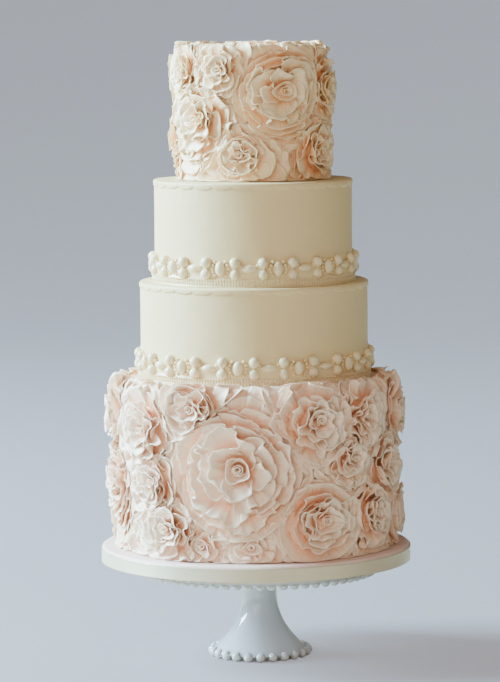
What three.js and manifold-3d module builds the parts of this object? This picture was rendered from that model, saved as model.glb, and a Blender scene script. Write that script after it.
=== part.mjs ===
// A four-tier wedding cake on a milk-glass pedestal stand.
// Millimetres, +Z up. The origin is on the table, under the middle of the cake board.
// The front of the cake faces -Y. An azimuth of 0 is the front, and it grows towards +X.
import * as THREE from "three";
import { mergeVertices } from "three/addons/utils/BufferGeometryUtils.js";
import Module from "manifold-3d";

const wasm = await Module();
wasm.setup();

const TURN = Math.PI * 2;
const radians = THREE.MathUtils.degToRad;

// Heights of the joints between the pieces, up from the table
const standTop = 97.5;
const boardTop = 114;
const bottomTierTop = 282.5;
const lowerPlainTop = 378;
const upperPlainTop = 479;
const topTierTop = 611;

// Gap that the roses, the ribbon and the pearl borders keep to what they are stuck on,
// and the wider one that a rose keeps on its own side of the line between it and the next
const gap = 0.3;
const roseGap = 0.6;

const icingBlush = { color: 0xf0cdb8, roughness: 0.55, metalness: 0 };
const icingIvory = { color: 0xe9e4cf, roughness: 0.5, metalness: 0 };
const pearlIvory = { color: 0xeee6cd, roughness: 0.3, metalness: 0 };
const satinIvory = { color: 0xe4e2d2, roughness: 0.35, metalness: 0 };
const milkGlass = { color: 0xe6ecef, roughness: 0.12, metalness: 0 };

// The three.js geometry with its shared vertices merged, as a solid that can be joined and cut
function solidOf(geometry) {
  const bare = new THREE.BufferGeometry();
  bare.setAttribute("position", geometry.getAttribute("position"));
  bare.setIndex(geometry.index);
  const merged = mergeVertices(bare, 1e-3);
  const mesh = new wasm.Mesh({
    numProp: 3,
    vertProperties: merged.getAttribute("position").array,
    triVerts: new Uint32Array(merged.index.array),
  });
  mesh.merge();
  return new wasm.Manifold(mesh);
}

function geometryOf(solid) {
  const { vertProperties, triVerts } = solid.getMesh();
  const geometry = new THREE.BufferGeometry();
  geometry.setAttribute("position", new THREE.BufferAttribute(vertProperties, 3));
  geometry.setIndex(new THREE.BufferAttribute(triVerts, 1));
  geometry.computeVertexNormals();
  return geometry;
}

// A profile of [radius, height] points, turned round the vertical axis
function turned(profile, segments) {
  const points = profile.map(([radius, height]) => new THREE.Vector2(radius, height));
  const quarterTurn = TURN / 4;
  return new THREE.LatheGeometry(points, segments).rotateX(quarterTurn);
}

function around(azimuth, radius, height) {
  return new THREE.Vector3(radius * Math.sin(azimuth), -radius * Math.cos(azimuth), height);
}

// Pedestal stand: pressed milk glass, a beaded plate on a stem that flares to a beaded foot
const stand = {
  offset: 3.5,
  discRadius: 44.5,
  discHeight: 4.2,
  footRadius: 48.5,
  stemRadius: 17,
  flareBottom: 6,
  flareTop: 70,
  flareCurve: 2.6,
  flareSteps: 4,
  collar: 8.5,
  plateRadius: 120,
  plateThickness: 5,
  skirtDepth: 4,
  skirtThickness: 11,
  footBeads: 24,
  plateBeads: 64,
  beadRadius: 4.8,
  segments: 32,
};

function standProfile() {
  const { discRadius, discHeight, footRadius, stemRadius } = stand;
  const { flareBottom, flareTop, flareCurve, flareSteps } = stand;
  const { plateRadius, plateThickness, skirtDepth, skirtThickness, collar } = stand;
  const plateUnderside = standTop - plateThickness;
  const skirtBottom = plateUnderside - skirtDepth;
  const skirtInside = plateRadius - skirtThickness;
  const profile = [[0, 0], [discRadius, 0], [discRadius, discHeight]];
  for (let step = 0; step <= flareSteps; step++) {
    const rise = step / flareSteps;
    const spread = (footRadius - stemRadius) * Math.pow(1 - rise, flareCurve);
    profile.push([stemRadius + spread, flareBottom + (flareTop - flareBottom) * rise]);
  }
  profile.push([stemRadius, plateUnderside - collar], [stemRadius + collar, plateUnderside]);
  profile.push([skirtInside, plateUnderside], [skirtInside, skirtBottom]);
  profile.push([plateRadius, skirtBottom], [plateRadius, standTop], [0, standTop]);
  return profile;
}

function beadRing(solid, count, ringRadius, height) {
  for (let bead = 0; bead < count; bead++) {
    const azimuth = ((bead + 0.5) / count) * TURN;
    const place = around(azimuth, ringRadius, height);
    const ball = new THREE.OctahedronGeometry(stand.beadRadius).rotateZ(azimuth);
    solid = solid.add(solidOf(ball.translate(place.x, place.y, place.z)));
  }
  return solid;
}

function buildStand() {
  const skirtBottom = standTop - stand.plateThickness - stand.skirtDepth;
  let solid = solidOf(turned(standProfile(), stand.segments));
  solid = beadRing(solid, stand.footBeads, stand.footRadius - 1, stand.beadRadius);
  const plateBeadRing = stand.plateRadius - stand.skirtThickness / 2;
  return geometryOf(beadRing(solid, stand.plateBeads, plateBeadRing, skirtBottom));
}

// Cake board: a round drum iced in blush, with a satin ribbon glued round its side
const board = { radius: 154.2, edge: 2.2, segments: 44 };
const ribbon = { thickness: 1.0, bottom: standTop + 0.5, top: boardTop - 2.4 };

function buildBoard() {
  const { radius, edge, segments } = board;
  const profile = [[0, standTop], [radius, standTop], [radius, boardTop - edge]];
  profile.push([radius - edge, boardTop], [0, boardTop]);
  return turned(profile, segments);
}

// A closed ring round the cake, with a rectangular section
function band(inner, outer, bottom, top, segments) {
  return turned([[inner, bottom], [outer, bottom], [outer, top], [inner, top], [inner, bottom]], segments);
}

function buildRibbon() {
  const inner = board.radius + gap;
  return band(inner, inner + ribbon.thickness, ribbon.bottom, ribbon.top, board.segments);
}

// Plain tiers: each is iced smooth in ivory. A thin scalloped cap of icing laps over the top edge.
const plainTier = {
  edge: 2.5,
  edgeRound: 1.5,
  scallopDrop: 5.5,
  scallopDepth: 3,
  capThickness: 0.9,
  capUndercut: 1,
  facetsPerScallop: 2,
};

function buildPlainTier(radius, bottom, top, scallops) {
  const { edge, edgeRound, scallopDrop, scallopDepth, capThickness, capUndercut } = plainTier;
  const capRadius = radius + capThickness;
  const capFoot = top - scallopDrop - scallopDepth - capUndercut;
  const profile = [[0, bottom], [radius, bottom], [radius, capFoot], [capRadius, top - scallopDrop]];
  profile.push([capRadius, top - edge], [radius - edgeRound, top], [0, top]);
  const geometry = turned(profile, scallops * plainTier.facetsPerScallop);
  const position = geometry.getAttribute("position");
  const capRow = 3;
  for (let index = capRow; index < position.count; index += profile.length) {
    const segment = Math.floor(index / profile.length);
    const hang = segment % plainTier.facetsPerScallop === 0 ? 0 : scallopDepth;
    position.setZ(index, top - scallopDrop - hang);
  }
  return geometry;
}

// Pearl border: moulded sugar pearls on a low band at the foot of each plain tier.
// A repeat is an upright oval, two round pearls above each other, a leaf and two more round pearls.
const pearls = {
  bandHeight: 7.5,
  bandThickness: 3.4,
  backing: 1.4,
  backingHeight: 20.3,
  roundRadius: 4.9,
  ovalWidth: 4.6,
  ovalHeight: 6.9,
  leafLength: 8.6,
  leafHeight: 3.4,
  middle: 18.3,
  pairRise: 5.4,
  pairPlaces: [0.26, 0.74],
  leafPlace: 0.5,
  segments: 34,
};

// One pearl of the border: a faceted half round whose flat back lies on the tier
function pearl(azimuth, ringRadius, height, halfWidth, halfHeight, depth) {
  const sides = 6;
  const geometry = new THREE.ConeGeometry(1, 1, sides).translate(0, 0.5, 0).rotateX(Math.PI);
  geometry.scale(halfWidth, depth, halfHeight).rotateZ(azimuth);
  const place = around(azimuth, ringRadius, height);
  return solidOf(geometry.translate(place.x, place.y, place.z));
}

function buildBorder(tierRadius, base, repeats, firstOval) {
  const { bandHeight, bandThickness, backing, backingHeight, middle, pairRise, roundRadius } = pearls;
  const inner = (tierRadius + gap) / Math.cos(TURN / 2 / pearls.segments);
  const bandTop = base + bandHeight;
  const backingTop = base + backingHeight;
  const section = [[inner, base], [inner + bandThickness, base], [inner + bandThickness, bandTop]];
  section.push([inner + backing, bandTop], [inner + backing, backingTop], [inner, backingTop], [inner, base]);
  let solid = solidOf(turned(section, pearls.segments));
  const period = TURN / repeats;
  for (let repeat = 0; repeat < repeats; repeat++) {
    const oval = radians(firstOval) + repeat * period;
    const shapes = [
      [0, 0, pearls.ovalWidth, pearls.ovalHeight],
      [pearls.leafPlace, 0, pearls.leafLength, pearls.leafHeight],
    ];
    for (const side of pearls.pairPlaces) {
      shapes.push([side, pairRise, roundRadius, roundRadius]);
      shapes.push([side, -pairRise, roundRadius, roundRadius]);
    }
    for (const [along, rise, halfWidth, halfHeight] of shapes) {
      const azimuth = oval + along * period;
      const depth = backing / 2 + Math.min(halfWidth, halfHeight);
      const height = base + middle + rise;
      solid = solid.add(pearl(azimuth, inner + backing / 2, height, halfWidth, halfHeight, depth));
    }
  }
  return geometryOf(solid);
}

// Ruffled tiers: sugar-paste roses cover the side of a plain iced tier, and lap over its shoulder.
// A rose is [azimuth in degrees, height above the foot of the tier, radius].
const bottomTier = {
  name: "bottom",
  radius: 132.5,
  base: boardTop,
  top: bottomTierTop,
  shoulder: 12,
  segments: 48,
  budHeight: 13.5,
  rimHeight: 10,
  skirtHeight: 6.5,
  roses: [
    [-8.7, 88, 62], [-27, 146, 25], [-53, 121, 32], [-46, 72, 21], [-38.5, 27, 25], [-80, 66, 31],
    [-84, 133, 27], [25, 133, 31], [49, 134, 27], [42, 96, 17], [27, 36, 34], [66, 84, 28],
    [56, 38, 21], [84, 36, 28], [84, 134, 26], [-2, 15, 12], [-22, 15, 12],
    [172, 84, 58], [134, 128, 32], [142, 40, 30], [112, 92, 30], [114, 32, 25], [-150, 128, 31],
    [-132, 74, 30], [-144, 26, 25], [-108, 34, 28], [-112, 124, 30], [160, 150, 18],
  ],
};

const topTier = {
  name: "top",
  radius: 69,
  base: upperPlainTop,
  top: topTierTop,
  shoulder: 5,
  segments: 40,
  budHeight: 12,
  rimHeight: 8.5,
  skirtHeight: 5.5,
  roses: [
    [23, 86, 42], [-46, 58, 30], [-10, 25, 18], [-26, 108, 15], [-64, 106, 19], [60, 26, 22],
    [74, 88, 24], [120, 62, 34], [168, 96, 30], [164, 34, 28], [-146, 72, 34], [-104, 44, 26],
    [-106, 102, 24],
  ],
};

// The point that lies `along` round the tier, `up` from its foot and `out` from its icing.
// Past the foot of the shoulder it bends over the rounded edge.
function onTier(tier, along, up, out) {
  const straight = tier.top - tier.base - tier.shoulder;
  const azimuth = along / tier.radius;
  if (up <= straight) return around(azimuth, tier.radius + out, tier.base + up);
  const bend = (up - straight) / tier.shoulder;
  const radius = tier.radius - tier.shoulder + (tier.shoulder + out) * Math.cos(bend);
  return around(azimuth, radius, tier.base + straight + (tier.shoulder + out) * Math.sin(bend));
}

// The tier itself, with a rounded top edge, grown by `grow` all over
function tierCore(tier, grow) {
  const { radius, base, top, shoulder, segments } = tier;
  const profile = [[0, base - grow], [radius + grow, base - grow]];
  const bends = 2;
  const reach = shoulder + grow;
  for (let step = 0; step <= bends; step++) {
    const angle = (step / bends) * (TURN / 4);
    profile.push([radius - shoulder + reach * Math.cos(angle), top - shoulder + reach * Math.sin(angle)]);
  }
  profile.push([0, top + grow]);
  return turned(profile, segments);
}

// How far a rose reaches in one direction before it meets the next rose, the board or the shoulder
function reachOf(tier, rose, direction) {
  const circumference = TURN * tier.radius;
  const [azimuth, height, radius] = rose;
  const cos = Math.cos(direction);
  const sin = Math.sin(direction);
  const overShoulder = 0.1 * tier.shoulder;
  const highest = tier.top - tier.base + overShoulder;
  const almostLevel = 1e-6;
  let reach = sin > 0 ? (highest - height) / sin : (gap - height) / Math.min(sin, -almostLevel);
  for (const other of tier.roses) {
    if (other === rose) continue;
    const arc = radians(other[0] - azimuth) * tier.radius;
    const across = arc - circumference * Math.round(arc / circumference);
    const rise = other[1] - height;
    const towards = across * cos + rise * sin;
    if (towards <= 0) continue;
    const share = across * across + rise * rise + radius * radius - other[2] * other[2];
    reach = Math.min(reach, share / (2 * towards));
  }
  return reach - roseGap;
}

// What the petals of every rose share
const petal = {
  ringWidth: 18,
  facetWidth: 6,
  fewestFacets: 4,
  turnPerRing: 2.4,
  budShare: 0.2,
  lipShare: 0.04,
  overhang: 4.2,
  wave: 1.1,
  edgeWander: 0.05,
  ringGap: 1.4,
  sunk: 4.5,
};

// One rose: rings of petals round a bud. Each ring rises to a wavy free edge and drops to the next ring.
// Its outermost petals reach to the next roses, and its back is cut to the tier's side.
function buildRose(tier, rose, core) {
  const [azimuth, height, radius] = rose;
  const centre = radians(azimuth) * tier.radius;
  const rings = Math.max(1, Math.round(radius / petal.ringWidth));
  const sectors = Math.round(petal.fewestFacets + radius / petal.facetWidth);
  const petals = Math.floor(sectors / 3);
  const loops = [];
  const addLoop = (spanOf, out, wave, phase) => {
    const loop = [];
    for (let sector = 0; sector < sectors; sector++) {
      const direction = (sector / sectors) * TURN;
      const ripple = Math.sin(petals * direction + phase);
      const span = spanOf(reachOf(tier, rose, direction), 1 + petal.edgeWander * ripple);
      const up = height + span * Math.sin(direction);
      loop.push(onTier(tier, centre + span * Math.cos(direction), up, out + wave * ripple));
    }
    loops.push(loop);
  };
  for (let ring = 0; ring <= rings; ring++) {
    const share = petal.budShare + (1 - petal.budShare) * (ring / rings);
    const out = tier.budHeight + (tier.rimHeight - tier.budHeight) * share;
    const phase = ring * petal.turnPerRing + height;
    const squeeze = petal.ringGap * (rings - ring + 1);
    const atEdge = (reach, wander) => Math.min(radius * share * wander, reach - squeeze);
    const underEdge = (reach, wander) =>
      Math.min(radius * (share + petal.lipShare) * wander, reach - squeeze + petal.ringGap / 2);
    if (ring > 0) addLoop(atEdge, out, petal.wave, phase);
    if (ring < rings) addLoop(underEdge, out - petal.overhang, petal.wave / 2, phase);
  }
  const toNeighbour = (reach) => reach;
  addLoop(toNeighbour, tier.skirtHeight, petal.wave, height);
  addLoop(toNeighbour, -petal.sunk, 0, 0);
  const tip = onTier(tier, centre, height, tier.budHeight);
  const back = onTier(tier, centre, height, -petal.sunk);
  return geometryOf(solidOf(shellOf(loops, tip, back)).subtract(core));
}

// A closed skin over loops of points, from the tip in front to the point at the back
function shellOf(loops, tip, back) {
  const points = [tip, ...loops.flat(), back];
  const count = loops[0].length;
  const last = points.length - 1;
  const faces = [];
  for (let sector = 0; sector < count; sector++) {
    const next = (sector + 1) % count;
    faces.push(0, 1 + sector, 1 + next);
    for (let loop = 0; loop + 1 < loops.length; loop++) {
      const inner = 1 + loop * count;
      const outer = inner + count;
      faces.push(inner + sector, outer + sector, outer + next);
      faces.push(inner + sector, outer + next, inner + next);
    }
    const rim = last - count;
    faces.push(last, rim + next, rim + sector);
  }
  const geometry = new THREE.BufferGeometry().setFromPoints(points);
  geometry.setIndex(faces);
  return geometry;
}

const cake = new THREE.Group();

function add(name, geometry, material) {
  const mesh = new THREE.Mesh(geometry, new THREE.MeshStandardMaterial(material));
  mesh.name = name;
  cake.add(mesh);
  return mesh;
}

function addRuffledTier(tier) {
  add(`${tier.name}_tier`, tierCore(tier, 0), icingBlush);
  const core = solidOf(tierCore(tier, gap));
  tier.roses.forEach((rose, index) => {
    const number = String(index + 1).padStart(2, "0");
    add(`${tier.name}_rose_${number}`, buildRose(tier, rose, core), icingBlush);
  });
}

// A plain tier and its border, each named after where they are
function addPlainTier(tier) {
  const { name, radius, base, top, scallops, borderRepeats, firstOval } = tier;
  add(`${name}_plain_tier`, buildPlainTier(radius, base, top, scallops), icingIvory);
  add(`${name}_pearl_border`, buildBorder(radius, base, borderRepeats, firstOval), pearlIvory);
}

const lowerTier = {
  name: "lower",
  radius: 113.3,
  base: bottomTierTop,
  top: lowerPlainTop,
  scallops: 34,
  borderRepeats: 12,
  firstOval: -8,
};

const upperTier = {
  name: "upper",
  radius: 98.3,
  base: lowerPlainTop,
  top: upperPlainTop,
  scallops: 30,
  borderRepeats: 11,
  firstOval: -19,
};

add("pedestal_stand", buildStand(), milkGlass).position.x = stand.offset;
add("cake_board", buildBoard(), icingBlush);
add("board_ribbon", buildRibbon(), satinIvory);
addRuffledTier(bottomTier);
addPlainTier(lowerTier);
addPlainTier(upperTier);
addRuffledTier(topTier);

export default cake;
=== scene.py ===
# A four-tier wedding cake on a milk-glass pedestal stand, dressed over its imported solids.
# Lengths are in metres. The front of the cake faces -Y, an azimuth of 0 is the front, and it
# grows towards +X. The sections follow the cake from the table up.
import math
import bmesh
import bpy
import numpy as np
from mathutils import Matrix, Vector


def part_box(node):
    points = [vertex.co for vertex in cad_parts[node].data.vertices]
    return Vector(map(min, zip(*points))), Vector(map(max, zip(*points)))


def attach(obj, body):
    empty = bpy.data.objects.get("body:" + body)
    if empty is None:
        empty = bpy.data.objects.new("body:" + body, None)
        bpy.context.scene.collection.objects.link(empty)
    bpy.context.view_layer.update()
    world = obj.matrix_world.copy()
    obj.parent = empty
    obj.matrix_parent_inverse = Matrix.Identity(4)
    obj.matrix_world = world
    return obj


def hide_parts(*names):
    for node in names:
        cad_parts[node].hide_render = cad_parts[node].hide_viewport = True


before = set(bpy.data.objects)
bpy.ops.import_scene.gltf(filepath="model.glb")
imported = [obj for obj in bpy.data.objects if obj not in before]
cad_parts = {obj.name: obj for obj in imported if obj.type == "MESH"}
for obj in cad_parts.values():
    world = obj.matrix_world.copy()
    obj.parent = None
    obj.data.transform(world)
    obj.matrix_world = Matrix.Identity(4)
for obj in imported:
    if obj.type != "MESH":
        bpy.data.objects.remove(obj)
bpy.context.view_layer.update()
mm = 0.001

# Camera: 3.4 m in front of the cake, a little above its top and looking down at its middle. It
# leans half a degree, so that the cake's top lies left of its foot, as in the photograph. The
# focal length and the cake's offset are in pixels, and the sensor spans the picture's height.
image_height = 682
focal_pixels = 3420
pixels_right_of_middle = 4.3
sensor_width = 36
camera_distance = 3.4
camera_height = 0.650
look_down = math.radians(5.6)
lean = math.radians(-0.5)

camera_data = bpy.data.cameras.new("camera")
camera_data.sensor_width = sensor_width
camera_data.lens = sensor_width * focal_pixels / image_height
camera_data.clip_end = 100
camera = bpy.data.objects.new("camera", camera_data)
bpy.context.collection.objects.link(camera)
camera_left = pixels_right_of_middle * camera_distance / focal_pixels
camera.location = (-camera_left, -camera_distance, camera_height)
facing = Matrix.Rotation(math.radians(90) - look_down, 3, "X") @ Matrix.Rotation(lean, 3, "Z")
camera.rotation_euler = facing.to_euler()
bpy.context.scene.camera = camera

# Studio: a pale floor that curves up into a wall all round, so that there is a backdrop
# from every side. It is a shallow bowl, turned round the middle of the floor.
floor_radius = 3.2
wall_radius = 9.0
wall_height = 9.0
bowl_segments = 96
bowl_steps = 24


def turned(profile, segments):
    """The points and faces of a profile of (radius, height) pairs, turned round the vertical axis.
    A profile that starts and ends on the axis gives a closed shell."""
    profile = np.array(profile)
    angles = np.linspace(0, 2 * math.pi, segments, endpoint=False)[:, None]
    shape = (segments, len(profile))
    radii = np.broadcast_to(profile[:, 0], shape)
    heights = np.broadcast_to(profile[:, 1], shape)
    points = np.stack([radii * np.sin(angles), -radii * np.cos(angles), heights], axis=-1)
    return points.reshape(-1, 3), grid_faces(segments, len(profile), closed_rows=True)


def grid_faces(rows, columns, closed_rows=False, closed_columns=False):
    """Four-sided faces between neighbouring points of a grid that is numbered row by row."""
    row = np.arange(rows if closed_rows else rows - 1)[:, None]
    column = np.arange(columns if closed_columns else columns - 1)[None, :]
    next_row = (row + 1) % rows
    next_column = (column + 1) % columns
    corners = [row * columns + column, next_row * columns + column]
    corners += [next_row * columns + next_column, row * columns + next_column]
    corners = np.broadcast_arrays(*corners)
    return np.stack(corners, axis=-1).reshape(-1, 4)


def mesh_object(name, points, faces, material, merge=True):
    """A smooth object. Points in the same place, as on the axis of a turned piece, are merged."""
    mesh = bpy.data.meshes.new(name)
    mesh.from_pydata(points.tolist(), [], faces.tolist())
    if merge:
        shape = bmesh.new()
        shape.from_mesh(mesh)
        bmesh.ops.remove_doubles(shape, verts=shape.verts, dist=1e-7)
        shape.to_mesh(mesh)
        shape.free()
    mesh.polygons.foreach_set("use_smooth", [True] * len(mesh.polygons))
    mesh.materials.append(material)
    mesh.update()
    made = bpy.data.objects.new(name, mesh)
    bpy.context.collection.objects.link(made)
    return made


def material_with_shader(name):
    """A new material and its Principled shader."""
    material = bpy.data.materials.new(name)
    material.use_nodes = True
    return material, material.node_tree.nodes["Principled BSDF"]


# The camera sees the paper cool and softly glowing, and the light that the paper throws back on
# to the cake is warmer.
backdrop_paper, backdrop_shader = material_with_shader("backdrop_paper")
backdrop_shader.inputs["Roughness"].default_value = 0.9
backdrop_nodes = backdrop_paper.node_tree.nodes
backdrop_links = backdrop_paper.node_tree.links
seen = backdrop_nodes.new("ShaderNodeLightPath")
paper_colour = backdrop_nodes.new("ShaderNodeMix")
paper_colour.data_type = "RGBA"
paper_colour.inputs["A"].default_value = (0.46, 0.365, 0.28, 1)
paper_colour.inputs["B"].default_value = (0.18, 0.168, 0.20, 1)
backdrop_links.new(seen.outputs["Is Camera Ray"], paper_colour.inputs["Factor"])
backdrop_links.new(paper_colour.outputs["Result"], backdrop_shader.inputs["Base Color"])
glow = backdrop_nodes.new("ShaderNodeMath")
glow.operation = "MULTIPLY"
glow.inputs[1].default_value = 0.40
backdrop_links.new(seen.outputs["Is Camera Ray"], glow.inputs[0])
backdrop_links.new(glow.outputs[0], backdrop_shader.inputs["Emission Strength"])
backdrop_shader.inputs["Emission Color"].default_value = (0.87, 0.90, 1.0, 1)

bowl_profile = [(0, 0)]
for step in range(bowl_steps + 1):
    bend = math.radians(90) * step / bowl_steps
    rise = (wall_radius - floor_radius) * (1 - math.cos(bend))
    bowl_profile.append((floor_radius + (wall_radius - floor_radius) * math.sin(bend), rise))
bowl_profile.append((wall_radius, wall_height))
backdrop = mesh_object("backdrop", *turned(bowl_profile, bowl_segments), backdrop_paper)


def soft_light(name, place, aim, size, power, colour):
    """A square area light that faces a point. It lights the cake, but isn't seen itself."""
    data = bpy.data.lights.new(name, "AREA")
    data.shape = "SQUARE"
    data.size = size
    data.energy = power
    data.color = colour
    light = bpy.data.objects.new(name, data)
    light.location = place
    towards = Vector(aim) - Vector(place)
    light.rotation_euler = towards.to_track_quat("-Z", "Y").to_euler()
    light.visible_camera = False
    bpy.context.collection.objects.link(light)


soft_light("window", (-2.9, 0.45, 1.9), (0, 0, 0.25), 2.0, 1010, (0.545, 0.865, 1.0))
soft_light("room_fill", (-1.2, -3.0, 1.7), (0, 0, 0.35), 2.5, 52, (1.0, 0.82, 0.67))
soft_light("warm_corner", (2.4, -2.0, 1.3), (0, 0, 0.35), 2.0, 8, (1.0, 0.66, 0.42))

world = bpy.data.worlds.new("studio")
world.use_nodes = True
world.node_tree.nodes["Background"].inputs["Color"].default_value = (0.95, 0.84, 0.70, 1)
world.node_tree.nodes["Background"].inputs["Strength"].default_value = 0.19
bpy.context.scene.world = world

# Pedestal stand: pressed milk glass in one piece, a plate on a stem that flares to a foot.
# A ring of glass beads hangs from the plate's rim and another runs round the foot. The body is
# turned, and Geometry Nodes set the beads.
stand_low, stand_high = map(np.array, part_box("pedestal_stand"))
stand_middle = (stand_low + stand_high) / 2
stand_height = stand_high[2]
plate_radius = (stand_high[0] - stand_low[0]) / 2
plate_thickness = 5 * mm
plate_rim = 9 * mm
foot_radius = 48.5 * mm
foot_disc = foot_radius - 4 * mm
foot_rim = 6 * mm
foot_hollow = 0.6 * mm
stem_radius = 17 * mm
flare_bottom = 6.6 * mm
flare_top = 70 * mm
flare_curve = 2.6
flare_steps = 28
collar = 9 * mm
collar_steps = 6
glass_bead = 4.8 * mm
plate_bead_count = 64
plate_bead_inset = 5.3 * mm
foot_bead_count = 24
foot_bead_inset = 1 * mm
turned_segments = 192
bead_unevenness = 0.02
bead_detail = 3
round_bead_detail = 4
# A bead's lift at its middle, and how far it falls on the side that faces in. The pearls' material
# paints shade where the lift is low, so a bead's inner side gets painted shade and its outer side a
# paler painted highlight.
bead_paleness = 0.64
shade_painted_inwards = 0.55


def build_bead_ring():
    """Geometry Nodes that add a ring of like beads to a piece. A bead is a ball that may be
    stretched, and with pointed ends it becomes a leaf."""
    tree = bpy.data.node_groups.new("bead_ring", "GeometryNodeTree")
    tree.interface.new_socket("Geometry", in_out="OUTPUT", socket_type="NodeSocketGeometry")
    inputs = {
        "Geometry": "NodeSocketGeometry",
        "Beads": "NodeSocketInt",
        "Ring Radius": "NodeSocketFloat",
        "Height": "NodeSocketFloat",
        "First Bead": "NodeSocketFloat",
        "Bead Size": "NodeSocketVector",
        "Pointed": "NodeSocketFloat",
        "Unevenness": "NodeSocketFloat",
        "Seed": "NodeSocketInt",
        "Paleness": "NodeSocketFloat",
        "Detail": "NodeSocketInt",
        "Finish": "NodeSocketMaterial",
    }
    for name, kind in inputs.items():
        tree.interface.new_socket(name, in_out="INPUT", socket_type=kind)

    def node(kind, **settings):
        made = tree.nodes.new(kind)
        for setting, value in settings.items():
            setattr(made, setting, value)
        return made

    def math_node(operation, first, second):
        made = node("ShaderNodeMath", operation=operation)
        for socket, value in zip(made.inputs, (first, second)):
            if isinstance(value, (int, float)):
                socket.default_value = value
            else:
                link(value, socket)
        return made.outputs[0]

    def vector_node(operation, first, second):
        made = node("ShaderNodeVectorMath", operation=operation)
        link(first, made.inputs[0])
        link(second, made.inputs["Scale"] if operation == "SCALE" else made.inputs[1])
        return made.outputs[0]

    def random_vector(seed_shift):
        made = node("FunctionNodeRandomValue", data_type="FLOAT_VECTOR")
        made.inputs[0].default_value = (-1, -1, -1)
        made.inputs[1].default_value = (1, 1, 1)
        link(math_node("ADD", given.outputs["Seed"], seed_shift), made.inputs["Seed"])
        return vector_node("SCALE", made.outputs[0], given.outputs["Unevenness"])

    link = tree.links.new
    given = node("NodeGroupInput")
    circle = node("GeometryNodeMeshCircle")
    link(given.outputs["Beads"], circle.inputs["Vertices"])
    link(given.outputs["Ring Radius"], circle.inputs["Radius"])
    raised = node("ShaderNodeCombineXYZ")
    link(given.outputs["Height"], raised.inputs["Z"])
    turn = node("ShaderNodeCombineXYZ")
    link(math_node("SUBTRACT", given.outputs["First Bead"], math.radians(90)), turn.inputs["Z"])
    placed = node("GeometryNodeTransform")
    link(circle.outputs["Mesh"], placed.inputs["Geometry"])
    link(raised.outputs[0], placed.inputs["Translation"])
    link(turn.outputs[0], placed.inputs["Rotation"])
    nudged = node("GeometryNodeSetPosition")
    link(placed.outputs["Geometry"], nudged.inputs["Geometry"])
    nudge = vector_node("MULTIPLY", random_vector(7), given.outputs["Bead Size"])
    link(nudge, nudged.inputs["Offset"])

    ball = node("GeometryNodeMeshIcoSphere")
    ball.inputs["Radius"].default_value = 1
    link(given.outputs["Detail"], ball.inputs["Subdivisions"])
    place = node("GeometryNodeInputPosition")
    place_parts = node("ShaderNodeSeparateXYZ")
    link(place.outputs[0], place_parts.inputs[0])
    square = math_node("MULTIPLY", place_parts.outputs["X"], place_parts.outputs["X"])
    left_over = math_node("MAXIMUM", math_node("SUBTRACT", 1, square), 0)
    power = math_node("MULTIPLY", given.outputs["Pointed"], 0.5)
    narrowed = math_node("POWER", left_over, power)
    narrowing = node("ShaderNodeCombineXYZ")
    narrowing.inputs["X"].default_value = 1
    link(narrowed, narrowing.inputs["Y"])
    link(narrowed, narrowing.inputs["Z"])
    shaped = node("GeometryNodeSetPosition")
    link(ball.outputs["Mesh"], shaped.inputs["Geometry"])
    link(vector_node("MULTIPLY", place.outputs[0], narrowing.outputs[0]), shaped.inputs["Position"])

    # Each bead keeps a lift for its material. It is lower on the side facing in, for painted shade
    # there, and higher on the outer side, for a paler painted highlight.
    stored = node("GeometryNodeStoreNamedAttribute", data_type="FLOAT", domain="POINT")
    stored.inputs["Name"].default_value = "lift"
    link(shaped.outputs["Geometry"], stored.inputs["Geometry"])
    inner_shade = math_node("MULTIPLY", place_parts.outputs["Y"], shade_painted_inwards)
    lift_value = math_node("SUBTRACT", given.outputs["Paleness"], inner_shade)
    link(lift_value, stored.inputs["Value"])

    ring_place = node("GeometryNodeInputPosition")
    ring_parts = node("ShaderNodeSeparateXYZ")
    link(ring_place.outputs[0], ring_parts.inputs[0])
    around_ring = math_node("ARCTAN2", ring_parts.outputs["Y"], ring_parts.outputs["X"])
    facing_out = node("ShaderNodeCombineXYZ")
    link(math_node("ADD", around_ring, math.radians(90)), facing_out.inputs["Z"])
    rotation = node("FunctionNodeEulerToRotation")
    link(facing_out.outputs[0], rotation.inputs[0])
    size_change = node("ShaderNodeVectorMath", operation="ADD")
    size_change.inputs[0].default_value = (1, 1, 1)
    link(random_vector(0), size_change.inputs[1])
    size = vector_node("MULTIPLY", size_change.outputs[0], given.outputs["Bead Size"])
    beads = node("GeometryNodeInstanceOnPoints")
    link(nudged.outputs["Geometry"], beads.inputs["Points"])
    link(stored.outputs["Geometry"], beads.inputs["Instance"])
    link(rotation.outputs[0], beads.inputs["Rotation"])
    link(size, beads.inputs["Scale"])

    realized = node("GeometryNodeRealizeInstances")
    link(beads.outputs["Instances"], realized.inputs["Geometry"])
    smooth = node("GeometryNodeSetShadeSmooth")
    link(realized.outputs["Geometry"], smooth.inputs["Geometry"])
    joined = node("GeometryNodeJoinGeometry")
    link(smooth.outputs["Geometry"], joined.inputs["Geometry"])
    link(given.outputs["Geometry"], joined.inputs["Geometry"])
    finished = node("GeometryNodeSetMaterial")
    link(joined.outputs["Geometry"], finished.inputs["Geometry"])
    link(given.outputs["Finish"], finished.inputs["Material"])
    result = node("NodeGroupOutput")
    link(finished.outputs["Geometry"], result.inputs["Geometry"])
    return tree


bead_ring = build_bead_ring()


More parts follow.
